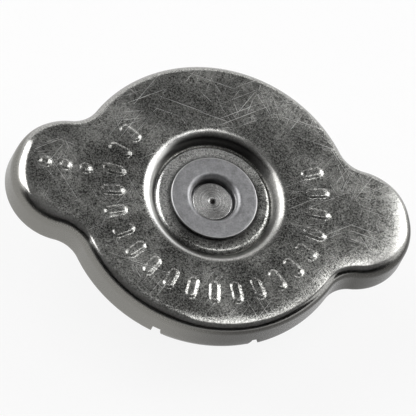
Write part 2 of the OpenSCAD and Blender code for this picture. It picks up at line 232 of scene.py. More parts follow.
class SurfaceGraph(Graph):
    """The node tree of a material, with its patterns in millimetres of the part's frame."""

    def __init__(self, material: bpy.types.Material) -> None:
        """Take over a material's nodes and keep its main shader.

        Args:
            material: The material.
        """
        material.use_nodes = True
        super().__init__(material.node_tree)
        self.shader = next(n for n in self.tree.nodes if n.type == "BSDF_PRINCIPLED")
        place = self.node("ShaderNodeTexCoord", None, None, "Object")
        self.place = self.node("ShaderNodeMapping", None, {"Vector": place, "Scale": (1 / MM,) * 3})

    def turned(self, degrees: float, stretch: Sequence[float]) -> Signal:
        """The place turned about the axis and stretched.

        Args:
            degrees: The turn.
            stretch: Scale along each turned direction.

        Returns:
            The new place.
        """
        values = {"Vector": self.place, "Rotation": (0.0, 0.0, math.radians(degrees))}
        turned = self.node("ShaderNodeMapping", None, values)
        return self.node("ShaderNodeMapping", None, {"Vector": turned, "Scale": tuple(stretch)})

    def noise(self, scale: float, detail: float = 2.0, rough: float = 0.5, twist: float = 0.0,
              place: Signal | None = None) -> Signal:
        """Noise about 0.5.

        Args:
            scale: Features for each millimetre.
            detail: Finer layers.
            rough: Weight of the finer layers.
            twist: How far the pattern is distorted.
            place: Where it is read, if not at the plain place.

        Returns:
            The noise.
        """
        inputs = {"Vector": place or self.place, "Scale": scale, "Detail": detail, "Roughness": rough,
                  "Distortion": twist}
        return self.node("ShaderNodeTexNoise", {"noise_dimensions": "3D"}, inputs)

    def mix(self, share: Signal, first: Signal | Colour, second: Signal | Colour) -> Signal:
        """Colour between two colours.

        Args:
            share: Share of the second colour.
            first: The first colour.
            second: The second colour.

        Returns:
            The mixed colour.
        """
        def full(colour: Signal | Colour) -> object:
            """A colour as a socket takes it."""
            return colour if isinstance(colour, Signal) else (*colour, 1.0)

        # The node has the same names for numbers, vectors and colours, so its colours go by place.
        inputs = {0: share, 6: full(first), 7: full(second)}
        return self.node("ShaderNodeMix", {"data_type": "RGBA"}, inputs, 2)

    def bump(self, height: Signal) -> Signal:
        """Normal of a surface raised by a height in millimetres."""
        return self.node("ShaderNodeBump", None, {"Height": height, "Strength": 1.0, "Distance": MM})

    def finish(self, **sockets: object) -> None:
        """Feed the main shader, with each socket's name in lower case and underscores."""
        for name, value in sockets.items():
            self.feed(self.shader.inputs[name.replace("_", " ").title()], value)


@dataclass(frozen=True)
class Finish:
    """A surface finish that can dress any piece."""

    name: str

    def material(self) -> bpy.types.Material:
        """Make the finish's material, or find it if it is made.

        Returns:
            The material.
        """
        found = bpy.data.materials.get(self.name)
        if found is None:
            found = bpy.data.materials.new(self.name)
            self.shade(SurfaceGraph(found))
        return found

    def shade(self, graph: SurfaceGraph) -> None:
        """Fill the material's nodes; each finish has its own way."""
        raise NotImplementedError


@dataclass(frozen=True)
class Streaks:
    """Straight scratches of one kind, in layers that each have a turn in degrees and a shift."""

    across: float
    along: float
    strength: float
    layers: Sequence[Point]


SCUFFS = Streaks(4.6, 0.13, 0.5, ((17.0, 3.1), (74.0, 11.7), (128.0, 23.9), (156.0, 41.3)))
HAIRLINES = Streaks(6.0, 0.06, 0.68, ((31.0, 5.3), (58.0, 9.7), (101.0, 17.9), (143.0, 31.1)))


@dataclass(frozen=True)
class PlatedSheet(Finish):
    """Worn plated sheet: grainy and scratched on top, smoother on the skirt and in the dish, with painted
    highlights and painted shade.
    """

    dark: Colour = (0.055, 0.055, 0.052)
    pale: Colour = (0.62, 0.62, 0.59)
    # Scratches, and the painted highlights on the dish's lip and the pad.
    scratch_and_highlight: Colour = (0.95, 0.95, 0.93)
    smooth: Colour = (0.5, 0.496, 0.477)
    dull: Colour = (0.2, 0.198, 0.189)
    skirt: Colour = (0.078, 0.076, 0.071)
    # Painted reflection: the skirt is paler on the left.
    skirt_lit: Colour = (0.23, 0.225, 0.208)
    # Painted shade, in the dish and round the cup washer.
    painted_shade: Colour = (0.035, 0.034, 0.033)
    top: float = 22.0
    hub_r: float = 6.8
    lip_r: float = 11.65
    grain: float = 3.6
    grain_height: float = 0.015
    wave_height: float = 0.035
    # Spans over which an effect comes in, from none to all of it, along a radius, x, y or y less x.
    pad_edge: Point = (9.35, 9.0)
    # The painted highlight on the dish's lip comes in over these spans.
    lip_highlight_in: Point = (9.4, 10.4)
    lip_highlight_out: Point = (13.0, 12.0)
    skirt_in: Point = (13.0, 16.0)
    lip_highlight_left: Point = (-2.0, -9.0)
    # The painted shade on the dish's wall eases towards the right.
    wall_shade_eases_right: Point = (4.0, 9.0)
    skirt_lit_left: Point = (6.0, -8.0)
    right_rim: Point = (25.0, 28.0)
    far_half: Point = (3.0, 9.0)
    # The painted shadow round the cup washer widens towards the near side over this span.
    washer_shadow_near: Point = (-1.0, -7.0)
    scratched_half: Point = (-6.0, 12.0)
    # Painted light on the pad comes in over this span.
    pad_lit_half: Point = (-4.0, 10.0)

    def shade(self, graph: SurfaceGraph) -> None:
        """Fill the material's nodes.

        Args:
            graph: The material's graph.
        """
        x, y, z = graph.parts(graph.place)
        out = x.hypot(y)
        far = y.eased(*self.far_half)
        # Worn are the flat top and the raised pad. The skirt and the dish's wall are smoother.
        on_top = z.eased(self.top - 0.3, self.top - 0.02) * out.eased(self.lip_r - 1.0, self.lip_r)
        on_pad = out.eased(*self.pad_edge)
        worn = on_top.high(on_pad)
        low = z.eased(self.top - 0.5, self.top - 1.0) * out.eased(*self.skirt_in)
        dish = out.eased(self.lip_r - 0.2, self.lip_r - 1.1) * (1.0 - on_pad)
        # Painted shade low on the dish's wall, starting higher on the far side.
        wall_shade = z.eased(far * 0.48 - 0.5 + self.top, far * 0.7 - 1.4 + self.top) * dish
        # The plating has a grain, with paler patches and veins, and scratches over it.
        coarse = graph.noise(self.grain, 2.0, 0.6)
        fine = graph.noise(self.grain * 2.3, 1.0, 0.5)
        grain = (coarse * 0.6 + fine * 0.4).eased(0.38, 0.66)
        patches = graph.noise(0.15, 3.0, 0.55)
        veins = abs(graph.noise(0.7, 4.0, 0.62, 0.9) - 0.5).eased(0.11, 0.0) * patches.eased(0.36, 0.6)
        marks = self._scratches(graph, y) * on_top
        plating = grain * 0.76 + patches * 0.4 + veins * 0.46 + far * 0.06 - 0.24
        colour = graph.mix(plating.held(), self.dark, self.pale)
        # The dish has a painted highlight along its left lip, and painted shade low on its wall, which
        # starts higher on the far side and is lighter on the right.
        plain = graph.mix(0.6 - grain * 0.6, self.smooth, self.dull)
        lip_highlight = out.eased(*self.lip_highlight_in) * out.eased(*self.lip_highlight_out) * x.eased(*self.lip_highlight_left)
        plain = graph.mix(lip_highlight * 0.6, plain, self.scratch_and_highlight)
        plain = graph.mix(wall_shade * (0.92 - 0.5 * x.eased(*self.wall_shade_eases_right)), plain, self.painted_shade)
        # Painted reflection: the skirt's colour goes from dark on the right to paler on the left.
        skirt = graph.mix(x.eased(*self.skirt_lit_left), self.skirt, self.skirt_lit)
        colour = graph.mix(worn, graph.mix(low, plain, skirt), colour)
        colour = graph.mix(marks, colour, self.scratch_and_highlight)
        # Painted light on the pad's far left half, mixed with the grain, and painted shadow round the cup
        # washer, wider on the near side.
        pad_lit = on_pad * (y - x).eased(*self.pad_lit_half) * (0.26 + 0.74 * grain)
        colour = graph.mix(pad_lit, colour, self.scratch_and_highlight)
        # Painted shadow round the cup washer.
        washer_shadow = out.eased(y.eased(*self.washer_shadow_near) * 1.2 + (self.hub_r + 0.8), self.hub_r + 0.05) * on_pad
        colour = graph.mix(washer_shadow * 0.8, colour, self.painted_shade)
        haze = patches.eased(0.42, 0.72)
        rough = 0.13 + low * 0.14 + dish * 0.16 + worn * (0.08 + 0.06 * haze) + marks * 0.14
        rough = rough + (fine - 0.5) * 0.05 + x.eased(*self.right_rim) * (1.0 - low) * 0.13
        wave = graph.noise(0.13, 1.0, 0.4) * self.wave_height + graph.noise(0.5, 1.0, 0.4) * dish * 0.05
        pits = (coarse * 0.7 + fine * 0.3) * (worn + dish * 0.6) * self.grain_height
        height = wave + pits - marks * 0.005
        graph.finish(base_color=colour, roughness=rough, metallic=1.0, normal=graph.bump(height))

    def _scratches(self, graph: SurfaceGraph, y: Signal) -> Signal:
        """Curly and straight scratches, thicker on the far half and in patches.

        Args:
            graph: The material's graph.
            y: Place across the ears.

        Returns:
            How much of a scratch there is.
        """
        half = 0.55 + 0.45 * y.eased(*self.scratched_half)
        thick = graph.noise(0.12, 2.0, 0.55).eased(0.36, 0.64) * half
        curl = graph.noise(0.42, 2.5, 0.55, 0.6)
        gaps = graph.noise(0.9, 1.0, 0.5).eased(0.46, 0.6)
        curly = abs(curl - 0.5).eased(0.014, 0.002) * gaps
        total = curly * thick * 0.3
        wisps = graph.noise(0.75, 3.0, 0.62, 1.4)
        total = total.high(abs(wisps - 0.47).eased(0.024, 0.004) * thick * gaps * 0.3)
        for kind in (SCUFFS, HAIRLINES):
            for turn, shift in kind.layers:
                inputs = {0: graph.turned(turn, (kind.across, kind.along, 1.0)), 1: (shift, shift, 0.0)}
                place = graph.node("ShaderNodeVectorMath", {"operation": "ADD"}, inputs)
                streak = graph.noise(1.0, 1.0, 0.4, 0.0, place).eased(0.68, 0.76)
                total = total.high(streak * (0.35 + 0.65 * thick) * kind.strength)
        return total


@dataclass(frozen=True)
class SatinCup(Finish):
    """Smooth satin plating of the cup washer, with faint turned lines and a few rubs."""

    pale: Colour = (0.44, 0.44, 0.452)
    dull: Colour = (0.18, 0.18, 0.185)
    edge: Colour = (0.62, 0.62, 0.62)
    lines: float = 5.0
    rim_r: float = 6.8

    def shade(self, graph: SurfaceGraph) -> None:
        """Fill the material's nodes.

        Args:
            graph: The material's graph.
        """
        x, y, _ = graph.parts(graph.place)
        out = x.hypot(y)
        rings = (out * (self.lines * math.tau)).sine() * 0.5 + 0.5
        cloud = graph.noise(0.9, 3.0, 0.55)
        grain = graph.noise(3.4, 2.0, 0.6)
        colour = graph.mix((cloud * 1.0 + grain * 0.9 - 0.45).held(), self.dull, self.pale)
        rub = out.eased(self.rim_r - 0.22, self.rim_r - 0.1) * out.eased(self.rim_r, self.rim_r - 0.05)
        colour = graph.mix(rub * 0.8, colour, self.edge)
        rough = 0.43 + (cloud - 0.5) * 0.14 + (grain - 0.5) * 0.08
        height = rings * 0.0008 + grain * 0.002 + cloud * 0.006
        graph.finish(base_color=colour, roughness=rough, metallic=1.0, normal=graph.bump(height))


@dataclass(frozen=True)
class TurnedMetal(Finish):
    """Metal turned on a lathe, with uneven circles from the tool, a painted highlight in two opposite
    wedges and painted shade in the dimple.
    """

    pale: Colour = (0.95, 0.945, 0.93)
    dull: Colour = (0.30, 0.297, 0.292)
    # Painted shade in the rivet's dimple.
    dimple: Colour = (0.02, 0.019, 0.018)
    dimple_r: float = 0.75
    wedge_highlight_degrees: float = 200.0
    pitch: float = 0.22

    def shade(self, graph: SurfaceGraph) -> None:
        """Fill the material's nodes.

        Args:
            graph: The material's graph.
        """
        x, y, z = graph.parts(graph.place)
        out = x.hypot(y)
        uneven = graph.node("ShaderNodeCombineXYZ", None, {0: out * 7.0, 1: z * 2.0, 2: 0.0})
        rings = graph.noise(1.0, 3.0, 0.6, 0.0, uneven)
        cloud = graph.noise(1.1, 2.0, 0.5)
        # Painted highlight: two opposite wedges of the face are paler.
        aside = y.angle(x) - math.radians(self.wedge_highlight_degrees - 45.0)
        wedge_highlight = (aside * 2.0).sine() * 0.5 + 0.5
        colour = graph.mix((rings * 0.5 + cloud * 0.3 + wedge_highlight * 0.7 - 0.28).held(), self.dull, self.pale)
        # Painted shade: the dimple is coloured near black.
        colour = graph.mix(out.eased(self.dimple_r, self.dimple_r * 0.4), colour, self.dimple)
        ripple = (out * (math.tau / self.pitch)).sine()
        rough = 0.26 + (rings - 0.5) * 0.16 + (cloud - 0.5) * 0.08
        height = rings * 0.0045 + ripple * 0.0006
        graph.finish(base_color=colour, roughness=rough, metallic=1.0, normal=graph.bump(height))


@dataclass(frozen=True)
class DrawnMetal(Finish):
    """Drawn or stamped sheet and wire: fine lines along the draw, stains and rubbed places."""

    pale: Colour = (0.66, 0.66, 0.65)
    dull: Colour = (0.43, 0.43, 0.425)
    stain: Colour = (0.33, 0.30, 0.26)
    lines: Spot = (0.6, 0.6, 7.0)
    rough: float = 0.3

    def shade(self, graph: SurfaceGraph) -> None:
        """Fill the material's nodes.

        Args:
            graph: The material's graph.
        """
        lines = graph.noise(1.0, 2.0, 0.5, 0.0, graph.turned(0.0, self.lines))
        cloud = graph.noise(0.28, 3.0, 0.55)
        speck = graph.noise(3.4, 2.0, 0.6)
        colour = graph.mix((lines * 0.55 + cloud * 0.6 - 0.08).held(), self.dull, self.pale)
        spots = (speck * cloud).eased(0.36, 0.46) * 0.5
        colour = graph.mix(spots, colour, self.stain)
        rough = self.rough + (lines - 0.5) * 0.16 + spots * 0.2
        height = lines * 0.004 + speck * 0.003
        graph.finish(base_color=colour, roughness=rough, metallic=1.0, normal=graph.bump(height))


@dataclass(frozen=True)
class MouldedRubber(Finish):
    """Moulded black rubber with a dusty bloom and a fine pebbled skin."""

    black: Colour = (0.018, 0.018, 0.019)
    bloom: Colour = (0.075, 0.073, 0.070)

    def shade(self, graph: SurfaceGraph) -> None:
        """Fill the material's nodes.

        Args:
            graph: The material's graph.
        """
        cloud = graph.noise(0.35, 4.0, 0.6)
        pebble = graph.noise(5.0, 2.0, 0.55)
        colour = graph.mix(cloud.eased(0.40, 0.75) * 0.8, self.black, self.bloom)
        rough = 0.58 + (cloud - 0.5) * 0.25 + (pebble - 0.5) * 0.12
        graph.finish(base_color=colour, roughness=rough, metallic=0.0, normal=graph.bump(pebble * 0.012))


@dataclass(frozen=True)
class PaleFloor(Finish):
    """White paper that the part stands on."""

    white: Colour = (0.94, 0.94, 0.94)
    shade_of: Colour = (0.92, 0.92, 0.92)
    glow: float = 0.87

    def shade(self, graph: SurfaceGraph) -> None:
        """Fill the material's nodes.

        Args:
            graph: The material's graph.
        """
        fibre = graph.noise(0.8, 3.0, 0.6)
        graph.finish(base_color=graph.mix(fibre, self.shade_of, self.white), roughness=0.9)
        seen = graph.node("ShaderNodeLightPath", None, None, "Is Camera Ray")
        rays = seen.socket.node.outputs
        shown = seen + Signal(graph, rays["Is Glossy Ray"]) + Signal(graph, rays["Is Transmission Ray"])
        white = graph.node("ShaderNodeEmission", None, {"Color": (1.0, 1.0, 1.0, 1.0), "Strength": 1.0})
        paper = Signal(graph, graph.shader.outputs[0])
        both = graph.node("ShaderNodeMixShader", None, {0: shown.low(1.0) * self.glow, 1: paper, 2: white})
        end = next(n for n in graph.tree.nodes if n.type == "OUTPUT_MATERIAL")
        graph.feed(end.inputs["Surface"], both)


LID_PLATE = PlatedSheet("lid_plate_worn")
HUB_PLATE = SatinCup("hub_plate_satin")
RIVET_METAL = TurnedMetal("rivet_turned")
DRAWN_PLATE = DrawnMetal("drawn_plate")
SPRING_SHEET = DrawnMetal("spring_sheet", pale=(0.60, 0.60, 0.60), dull=(0.40, 0.40, 0.405),
                          stain=(0.30, 0.27, 0.24), lines=(0.5, 6.0, 0.5), rough=0.26)
SPRING_WIRE = DrawnMetal("spring_wire", pale=(0.52, 0.52, 0.53), dull=(0.30, 0.30, 0.31),
                         stain=(0.24, 0.20, 0.17), lines=(0.9, 0.9, 3.0), rough=0.3)
VALVE_BRASS = DrawnMetal("valve_brass", pale=(0.80, 0.60, 0.30), dull=(0.58, 0.41, 0.18),
                         stain=(0.28, 0.19, 0.09), lines=(0.7, 0.7, 5.0), rough=0.28)
SEAL_RUBBER = MouldedRubber("seal_rubber")
FLOOR_PAPER = PaleFloor("floor_paper")


def new_object(name: str, mesh: bpy.types.Mesh) -> bpy.types.Object:
    """Put a mesh in the scene.

    Args:
        name: The piece's name.
        mesh: Its mesh, already in place.

    Returns:
        The new object, at the origin.
    """
    made = bpy.data.objects.new(name, mesh)
    bpy.context.scene.collection.objects.link(made)
    return made


def arc(x: float, z: float, radius: float, start: float, end: float, steps: int) -> list[Point]:
    """Points along an arc of a section.

    Args:
        x: The centre's distance from the axis.
        z: The centre's height.
        radius: The arc's radius.
        start: Angle of the first point, in degrees.
        end: Angle of the last point, in degrees.
        steps: Steps between them.

    Returns:
        The points, both ends included.
    """
    turns = [math.radians(start + (end - start) * i / steps) for i in range(steps + 1)]
    return [(x + radius * math.cos(a), z + radius * math.sin(a)) for a in turns]


def straight(first: Point, last: Point, steps: int) -> list[Point]:
    """Points along a straight stretch of a section, without its first point.

    Args:
        first: Where it starts.
        last: Where it ends.
        steps: Steps between them.

    Returns:
        The points after the first.
    """
    shares = [i / steps for i in range(1, steps + 1)]
    return [(first[0] + (last[0] - first[0]) * s, first[1] + (last[1] - first[1]) * s) for s in shares]


def soften(mesh: bpy.types.Mesh) -> None:
    """Shade a mesh smooth, except at its creases."""
    mesh.shade_smooth()
    mesh.set_sharp_from_angle(angle=math.radians(CREASE_DEGREES))


def close_mesh(name: str, points: np.ndarray, faces: Sequence[Sequence[int]]) -> bpy.types.Mesh:
    """Make a closed, outward-facing, smooth mesh.

    Args:
        name: The mesh's name.
        points: Its points in millimetres.
        faces: Its faces; points that no face uses are dropped.

    Returns:
        The mesh, in metres.
    """
    mesh = bpy.data.meshes.new(name)
    mesh.from_pydata((points * MM).tolist(), [], [list(face) for face in faces])
    work = bmesh.new()
    work.from_mesh(mesh)
    bmesh.ops.delete(work, geom=[v for v in work.verts if not v.link_faces], context="VERTS")
    bmesh.ops.recalc_face_normals(work, faces=work.faces)
    open_edges = sum(1 for edge in work.edges if len(edge.link_faces) != 2)
    work.to_mesh(mesh)
    work.free()
    soften(mesh)
    log.info("%s: %d faces, %d open edges", name, len(mesh.polygons), open_edges)
    return mesh


class ShapeGraph(Graph):
    """A Geometry Nodes tree with named inputs, used once and turned into a plain mesh."""

    def __init__(self, name: str) -> None:
        """Start an empty tree with a geometry input and output.

        Args:
            name: The tree's name.
        """
        group = bpy.data.node_groups.new(name, "GeometryNodeTree")
        super().__init__(group)
        group.interface.new_socket(name="Geometry", in_out="INPUT", socket_type="NodeSocketGeometry")
        group.interface.new_socket(name="Geometry", in_out="OUTPUT", socket_type="NodeSocketGeometry")
        self.entry = group.nodes.new("NodeGroupInput")
        self.exit = group.nodes.new("NodeGroupOutput")
        self.values: dict[str, float] = {}

    def number(self, name: str, value: float, whole: bool = False) -> Signal:
        """Add a named input.

        Args:
            name: The input's name.
            value: The value that the modifier gives it.
            whole: Whether it is a whole number.

        Returns:
            The input inside the tree.
        """
        kind = "NodeSocketInt" if whole else "NodeSocketFloat"
        made = self.tree.interface.new_socket(name=name, in_out="INPUT", socket_type=kind)
        self.values[made.identifier] = value
        return Signal(self, self.entry.outputs[name])

    def geometry(self) -> Signal:
        """The geometry that the modifier is given."""
        return Signal(self, self.entry.outputs["Geometry"])

    def close(self, geometry: Signal, material: bpy.types.Material) -> None:
        """End the tree.

        Args:
            geometry: What the tree made.
            material: The material of all of it.
        """
        real = self.node("GeometryNodeRealizeInstances", None, {"Geometry": geometry})
        dressed = self.node("GeometryNodeSetMaterial", None, {"Geometry": real, "Material": material})
        self.feed(self.exit.inputs["Geometry"], dressed)

    def shape(self, obj: bpy.types.Object) -> None:
        """Run the tree on an object and keep the result as its plain mesh.

        Args:
            obj: The object.
        """
        modifier = obj.modifiers.new(self.tree.name, "NODES")
        modifier.node_group = self.tree
        for identifier, value in self.values.items():
            modifier[identifier] = value
        bpy.context.view_layer.update()
        state = bpy.context.evaluated_depsgraph_get()
        made = bpy.data.meshes.new_from_object(obj.evaluated_get(state))
        obj.modifiers.remove(modifier)
        made.name = obj.name
        obj.data = made


class Hangs(Enum):
    """What hangs below a stretch of the lid's wall."""

    SKIRT = "skirt"
    NOTCH = "notch"
    LUG = "lug"


@dataclass
class Outline:
    """Columns around the lid's plan: where each stands, which way it faces and what hangs below it."""

    points: np.ndarray
    normals: np.ndarray
    hangs: list[Hangs]
    lug_offsets: np.ndarray


@dataclass
class PressedRelief:
    """Generic raised ribs round the lid and pips on one ear, pressed up from the flat top."""

    ribs: int = 20
    ring_r: float = 16.2
    first_degrees: float = 24.0
    sweep_degrees: float = 234.0
    rib_l: float = 3.3
    rib_w: float = 1.35
    rib_h: float = 0.22
    soft: float = 0.5
    pips: int = 3
    pip_x: float = -26.7
    pip_y: float = 0.9
    pip_step: float = 3.1
    pip_r: float = 0.75
    reach_down: float = 0.6

    def press(self, obj: bpy.types.Object, top: float, material: bpy.types.Material) -> None:
        """Raise the flat top of the lid.

        Args:
            obj: The lid.
            top: Height of the flat top.
            material: The lid's material.
        """
        graph = ShapeGraph("pressed_relief")
        size = {name: graph.number(name, value * MM) for name, value in (
            ("Ring radius", self.ring_r), ("Rib length", self.rib_l), ("Rib width", self.rib_w),
            ("Rib height", self.rib_h), ("Soft edge", self.soft), ("Lowest level", top - self.reach_down),
            ("First pip x", self.pip_x), ("Pip y", self.pip_y), ("Pip step", self.pip_step),
            ("Pip radius", self.pip_r))}
        last_rib = graph.number("Last rib", self.ribs - 1)
        last_pip = graph.number("Last pip", self.pips - 1)
        first = graph.number("First rib angle", math.radians(self.first_degrees))
        step = graph.number("Rib step", math.radians(self.sweep_degrees) / (self.ribs - 1))
        x, y, z = graph.parts(graph.node("GeometryNodeInputPosition"))
        distance = self._rib_distance(x, y, size, first, step, last_rib)
        distance = distance.low(self._pip_distance(x, y, size, last_pip))
        edge = size["Soft edge"] * 0.5
        rise = distance.eased(edge, edge * -1.0) * size["Rib height"]
        rise = rise * (z > size["Lowest level"])
        offset = graph.node("ShaderNodeCombineXYZ", None, {2: rise})
        inputs = {"Geometry": graph.geometry(), "Offset": offset}
        graph.close(graph.node("GeometryNodeSetPosition", None, inputs), material)
        graph.shape(obj)

    @staticmethod
    def _rib_distance(x: Signal, y: Signal, size: Mapping[str, Signal], first: Signal, step: Signal,
                      last: Signal) -> Signal:
        """Distance from the nearest rib's outline.

        Args:
            x: Place along the ears.
            y: Place across the ears.
            size: The relief's sizes.
            first: Angle of the first rib.
            step: Angle between ribs.
            last: Number of the last rib.

        Returns:
            The distance, negative inside a rib.
        """
        margin = 0.5
        out = x.hypot(y)
        turn = (first - y.angle(x) + margin).wrapped(math.tau) - margin
        number = (turn / step).nearest().high(0.0).low(last)
        aside = out * (turn - number * step)
        half_w = size["Rib width"] * 0.5
        along = (abs(out - size["Ring radius"]) - (size["Rib length"] * 0.5 - half_w)).high(0.0)
        return aside.hypot(along) - half_w

    @staticmethod
    def _pip_distance(x: Signal, y: Signal, size: Mapping[str, Signal], last: Signal) -> Signal:
        """Distance from the nearest pip's outline.

        Args:
            x: Place along the ears.
            y: Place across the ears.
            size: The relief's sizes.
            last: Number of the last pip.

        Returns:
            The distance, negative inside a pip.
        """
        number = ((x - size["First pip x"]) / size["Pip step"]).nearest().high(0.0).low(last)
        aside = x - size["First pip x"] - number * size["Pip step"]
        return aside.hypot(y - size["Pip y"]) - size["Pip radius"]


@dataclass(frozen=True)
class EdgeShape:
    """How the lid's top meets its skirt: a roll, and a strip before it that falls to a slope in degrees."""

    radius: float
    crown_w: float
    slope: float


@dataclass
class PressedLid:
    """The pressed lid: flat top with two ears, rolled edge, skirt, dish with a raised pad, folded lugs."""

    top: float
    body_r: float = 22.5
    ear_r: float = 9.0
    ear_reach: float = 22.6
    blend_r: float = 5.0
    sheet_t: float = 0.8
    skirt_h: float = 5.9
    skirt_flare: float = 0.15
    dish_r: float = 11.65
    dish_lip_r: float = 2.1
    groove_w: float = 0.8
    pad_depth: float = 1.4
    pad_r: float = 9.15
    pad_edge_r: float = 1.3
    pad_gap: float = 0.05
    lip_roll_r: float = 2.2
    cone_degrees: float = 52.0
    hole_r: float = 4.11
    hole_chamfer: float = 0.35
    lug_w: float = 14.2
    lug_turn: float = 3.0
    lug_drop: float = 1.3
    lug_fold_r: float = 2.0
    lug_reach: float = 3.7
    lug_end_r: float = 2.4
    notch_w: float = 1.2
    notch_h: float = 1.5
    rim_round: float = 0.14
    far_edge: EdgeShape = EdgeShape(1.35, 0.9, 4.0)
    near_edge: EdgeShape = EdgeShape(1.35, 1.7, 10.5)
    slack_edge: EdgeShape = EdgeShape(2.1, 0.8, 3.0)
    left_edge: EdgeShape = EdgeShape(2.2, 2.0, 9.0)
    right_edge: EdgeShape = EdgeShape(1.6, 3.2, 12.0)
    # Where the edges change into each other: the first place and the width of the change, along x or y.
    ear_from: Point = (20.0, 8.0)
    near_from: Point = (0.0, 8.0)
    slack_from: Point = (1.0, 6.0)
    far_from: Point = (2.0, 5.0)
    far_calm: float = 0.8
    column_step: float = 0.27
    flat_rows: int = 44
    crown_rows: int = 6
    roll_rows: int = 14
    under_flat_rows: int = 6
    under_crown_rows: int = 4
    under_roll_rows: int = 8
    wall_shares: Sequence[float] = (0.33, 0.67, 1.0)
    relief: PressedRelief = field(default_factory=PressedRelief)

    def lean(self, depth: float) -> float:
        """Outward lean of the skirt at a depth below the flat top."""
        start = self.far_edge.radius
        return self.skirt_flare * max(depth - start, 0.0) / (self.skirt_h - start)

    def edge_values(self, plan: Outline) -> tuple[np.ndarray, np.ndarray, np.ndarray]:
        """How the top falls and rolls over at each column, which differs between body and ears.

        Args:
            plan: The lid's columns.

        Returns:
            Inset of the roll, width of the falling strip and its slope at the roll, in radians.
        """
        x, y = plan.points.T
        on_far = self.eased(y, self.far_from)
        on_ear = self.eased(np.abs(x), self.ear_from) * (1.0 - self.far_calm * on_far)
        near = self.eased(-y, self.near_from)
        slack = self.eased(-x, self.slack_from) * near

        def blended(name: str) -> np.ndarray:
            """Blend one of the edges' values.

            Args:
                name: The value's name.

            Returns:
                The value at each column.
            """
            far, close, loose, left, right = (getattr(e, name) for e in (
                self.far_edge, self.near_edge, self.slack_edge, self.left_edge, self.right_edge))
            body = far + (close - far) * near
            body = body + (loose - body) * slack
            return body + (np.where(x < 0.0, left, right) - body) * on_ear

        return blended("radius"), blended("crown_w"), np.radians(blended("slope"))

    @staticmethod
    def eased(place: np.ndarray, change: Point) -> np.ndarray:
        """Share of a change that is done at each place, with soft ends.

        Args:
            place: Place of each column along the change.
            change: Where the change starts, and its width.

        Returns:
            The shares, from 0 to 1.
        """
        start, width = change
        held = np.clip((place - start) / width, 0.0, 1.0)
        return held * held * (3.0 - 2.0 * held)

    @property
    def root(self) -> float:
        """Depth at which the lugs and notches start."""
        return self.skirt_h - self.notch_h

    def outline(self) -> Outline:
        """Columns round the plan, counter-clockwise from the right ear's lower end.

        Returns:
            The columns.
        """
        to_body = self.body_r + self.blend_r
        to_ear = self.ear_r + self.blend_r
        bx = (to_body ** 2 - to_ear ** 2 + self.ear_reach ** 2) / (2 * self.ear_reach)
        by = math.sqrt(to_body ** 2 - bx ** 2)
        body = math.degrees(math.atan2(by, bx))
        ear = math.degrees(math.atan2(by, bx - self.ear_reach))
        lug = math.degrees(math.asin(self.lug_w / 2 / self.body_r))
        gap = math.degrees(math.asin((self.lug_w / 2 + self.notch_w) / self.body_r))
        kinds = (Hangs.SKIRT, Hangs.NOTCH, Hangs.LUG, Hangs.NOTCH, Hangs.SKIRT)
        points, normals, hangs, offsets = [], [], [], []

        def stretch(centre: Point, radius: float, start: float, end: float, middle: float,
                    kind: Hangs = Hangs.SKIRT) -> None:
            """Add the columns of one arc; an arc that runs clockwise is hollow.

            Args:
                centre: The arc's centre.
                radius: The arc's radius.
                start: Angle of the first column, in degrees.
                end: Angle of the column after the last.
                middle: Angle of the middle of this half's lug.
                kind: What hangs below the arc.
            """
            hollow = -1.0 if end < start else 1.0
            steps = max(2, round(math.radians(abs(end - start)) * radius / self.column_step))
            for i in range(steps):
                a = math.radians(start + (end - start) * i / steps)
                way = np.array([math.cos(a), math.sin(a)])
                points.append(np.array(centre) + radius * way)
                normals.append(hollow * way)
                hangs.append(kind)
                offsets.append(self.body_r * math.sin(a - math.radians(middle)))

        for half in (0.0, 180.0):
            sign = 1.0 if half == 0.0 else -1.0
            middle = half + 90.0 + self.lug_turn
            back = half + 180.0
            stretch((sign * self.ear_reach, 0.0), self.ear_r, half - ear, half + ear, middle)
            stretch((sign * bx, sign * by), self.blend_r, back + ear, back + body, middle)
            ends = (half + body, middle - gap, middle - lug, middle + lug, middle + gap, back - body)
            for kind, start, end in zip(kinds, ends, ends[1:]):
                stretch((0.0, 0.0), self.body_r, start, end, middle, kind)
            stretch((-sign * bx, sign * by), self.blend_r, half - body, half - ear, middle)
        return Outline(np.array(points), np.array(normals), hangs, np.array(offsets))

    def dish_section(self) -> list[Point]:
        """Upper side of the hole, pad, wall and lip.

        Returns:
            The section, from the hole's lower edge out.
        """
        lip = arc(self.dish_r, -self.lip_roll_r, self.lip_roll_r, 90 + self.cone_degrees, 90, 12)
        foot_x = self.pad_r + self.pad_gap
        foot_z = lip[0][1] - (lip[0][0] - foot_x) * math.tan(math.radians(self.cone_degrees))
        turn = math.acos(1.0 + (foot_z + self.pad_depth) / self.pad_edge_r)
        pad_x = self.pad_r - self.pad_edge_r * math.sin(turn)
        pad = arc(pad_x, -self.pad_depth - self.pad_edge_r, self.pad_edge_r, 90, 90 - math.degrees(turn), 8)
        hole = [(self.hole_r, -self.pad_depth - self.sheet_t),
                (self.hole_r, -self.pad_depth - self.hole_chamfer),
                (self.hole_r + self.hole_chamfer, -self.pad_depth)]
        flat = straight(hole[-1], pad[0], 5)[:-1]
        wall = straight((foot_x, foot_z), lip[0], 4)[:-1]
        return [*hole, *flat, *pad, *wall, *lip]

